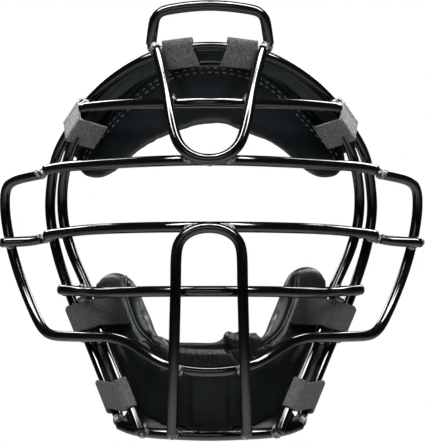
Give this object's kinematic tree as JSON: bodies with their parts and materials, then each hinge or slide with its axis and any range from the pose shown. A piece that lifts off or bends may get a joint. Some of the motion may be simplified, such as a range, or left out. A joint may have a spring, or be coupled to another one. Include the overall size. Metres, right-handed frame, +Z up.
{
  "type": "catcher's mask",
  "caption": "Baseball catcher's wire mask: a welded enamelled wire cage with ear, crown and mouth guards, and leather forehead and chin pads held by hook-and-loop tabs.",
  "frame": {"origin": "middle of the flat back of the forehead pad, where it meets the wearer's brow", "axes": "+X towards the wearer's left, +Y from the cage towards the wearer, +Z up the face"},
  "size_m": [0.25, 0.1251, 0.2448],
  "materials": {
    "enamelled_wire": "high gloss black enamel dipped over steel wire",
    "leather": "satin black grained leather",
    "lining": "soft matte black leather",
    "foam": "grey open foam, hidden inside the pads",
    "loop_pile": "grey brushed loop pile on webbing"
  },
  "bodies": {
    "mask": {"rim": "enamelled_wire", "bottom_bar": "enamelled_wire", "brow_bar": "enamelled_wire", "upper_eye_bar": "enamelled_wire", "lower_eye_bar": "enamelled_wire", "nose_bar": "enamelled_wire", "ear_and_chin_wire": "enamelled_wire", "crown_guard": "enamelled_wire", "forehead_loop": "enamelled_wire", "mouth_loop": "enamelled_wire", "cheek_wire_left": "enamelled_wire", "cheek_wire_right": "enamelled_wire", "ear_link_left": "enamelled_wire", "ear_link_right": "enamelled_wire", "forehead_pad_front_panel": "leather", "forehead_pad_foam_core": "foam", "forehead_pad_face_lining": "lining", "chin_pad_front_panel": "leather", "chin_pad_foam_core": "foam", "chin_pad_face_lining": "lining", "crown_strap_left": "loop_pile", "crown_strap_right": "loop_pile", "temple_strap_left": "loop_pile", "temple_strap_right": "loop_pile", "cheek_strap_left": "loop_pile", "cheek_strap_right": "loop_pile", "jaw_strap_left": "loop_pile", "jaw_strap_right": "loop_pile"},
    "crown_flap_left": {"crown_flap_left": "loop_pile"},
    "crown_flap_right": {"crown_flap_right": "loop_pile"},
    "temple_flap_left": {"temple_flap_left": "loop_pile"},
    "temple_flap_right": {"temple_flap_right": "loop_pile"},
    "cheek_flap_left": {"cheek_flap_left": "loop_pile"},
    "cheek_flap_right": {"cheek_flap_right": "loop_pile"},
    "jaw_flap_left": {"jaw_flap_left": "loop_pile"},
    "jaw_flap_right": {"jaw_flap_right": "loop_pile"}
  },
  "joints": [
    {"name": "crown_flap_left_open", "type": "hinge", "parent": "mask", "child": "crown_flap_left", "pos_m": [0.0178, -0.02584, 0.0278], "axis": [0.9905, 0.0581, -0.1243], "range_deg": [0, 90]},
    {"name": "crown_flap_right_open", "type": "hinge", "parent": "mask", "child": "crown_flap_right", "pos_m": [-0.0178, -0.02584, 0.0278], "axis": [0.9905, -0.0581, 0.1243], "range_deg": [0, 90]},
    {"name": "temple_flap_left_open", "type": "hinge", "parent": "mask", "child": "temple_flap_left", "pos_m": [0.07607, 0.00707, -0.0087], "axis": [0.4798, 0.6028, -0.6376], "range_deg": [0, 90]},
    {"name": "temple_flap_right_open", "type": "hinge", "parent": "mask", "child": "temple_flap_right", "pos_m": [-0.07607, 0.00707, -0.0087], "axis": [0.4798, -0.6028, 0.6376], "range_deg": [0, 90]},
    {"name": "cheek_flap_left_open", "type": "hinge", "parent": "mask", "child": "cheek_flap_left", "pos_m": [0.07485, 0.01178, -0.1275], "axis": [-0.3575, -0.5363, -0.7646], "range_deg": [0, 75]},
    {"name": "cheek_flap_right_open", "type": "hinge", "parent": "mask", "child": "cheek_flap_right", "pos_m": [-0.07485, 0.01178, -0.1275], "axis": [-0.3575, 0.5363, 0.7646], "range_deg": [0, 75]},
    {"name": "jaw_flap_left_open", "type": "hinge", "parent": "mask", "child": "jaw_flap_left", "pos_m": [0.05679, -0.01612, -0.1665], "axis": [-0.3568, -0.4784, -0.8024], "range_deg": [0, 90]},
    {"name": "jaw_flap_right_open", "type": "hinge", "parent": "mask", "child": "jaw_flap_right", "pos_m": [-0.05679, -0.01612, -0.1665], "axis": [-0.3568, 0.4784, 0.8024], "range_deg": [0, 90]}
  ]
}
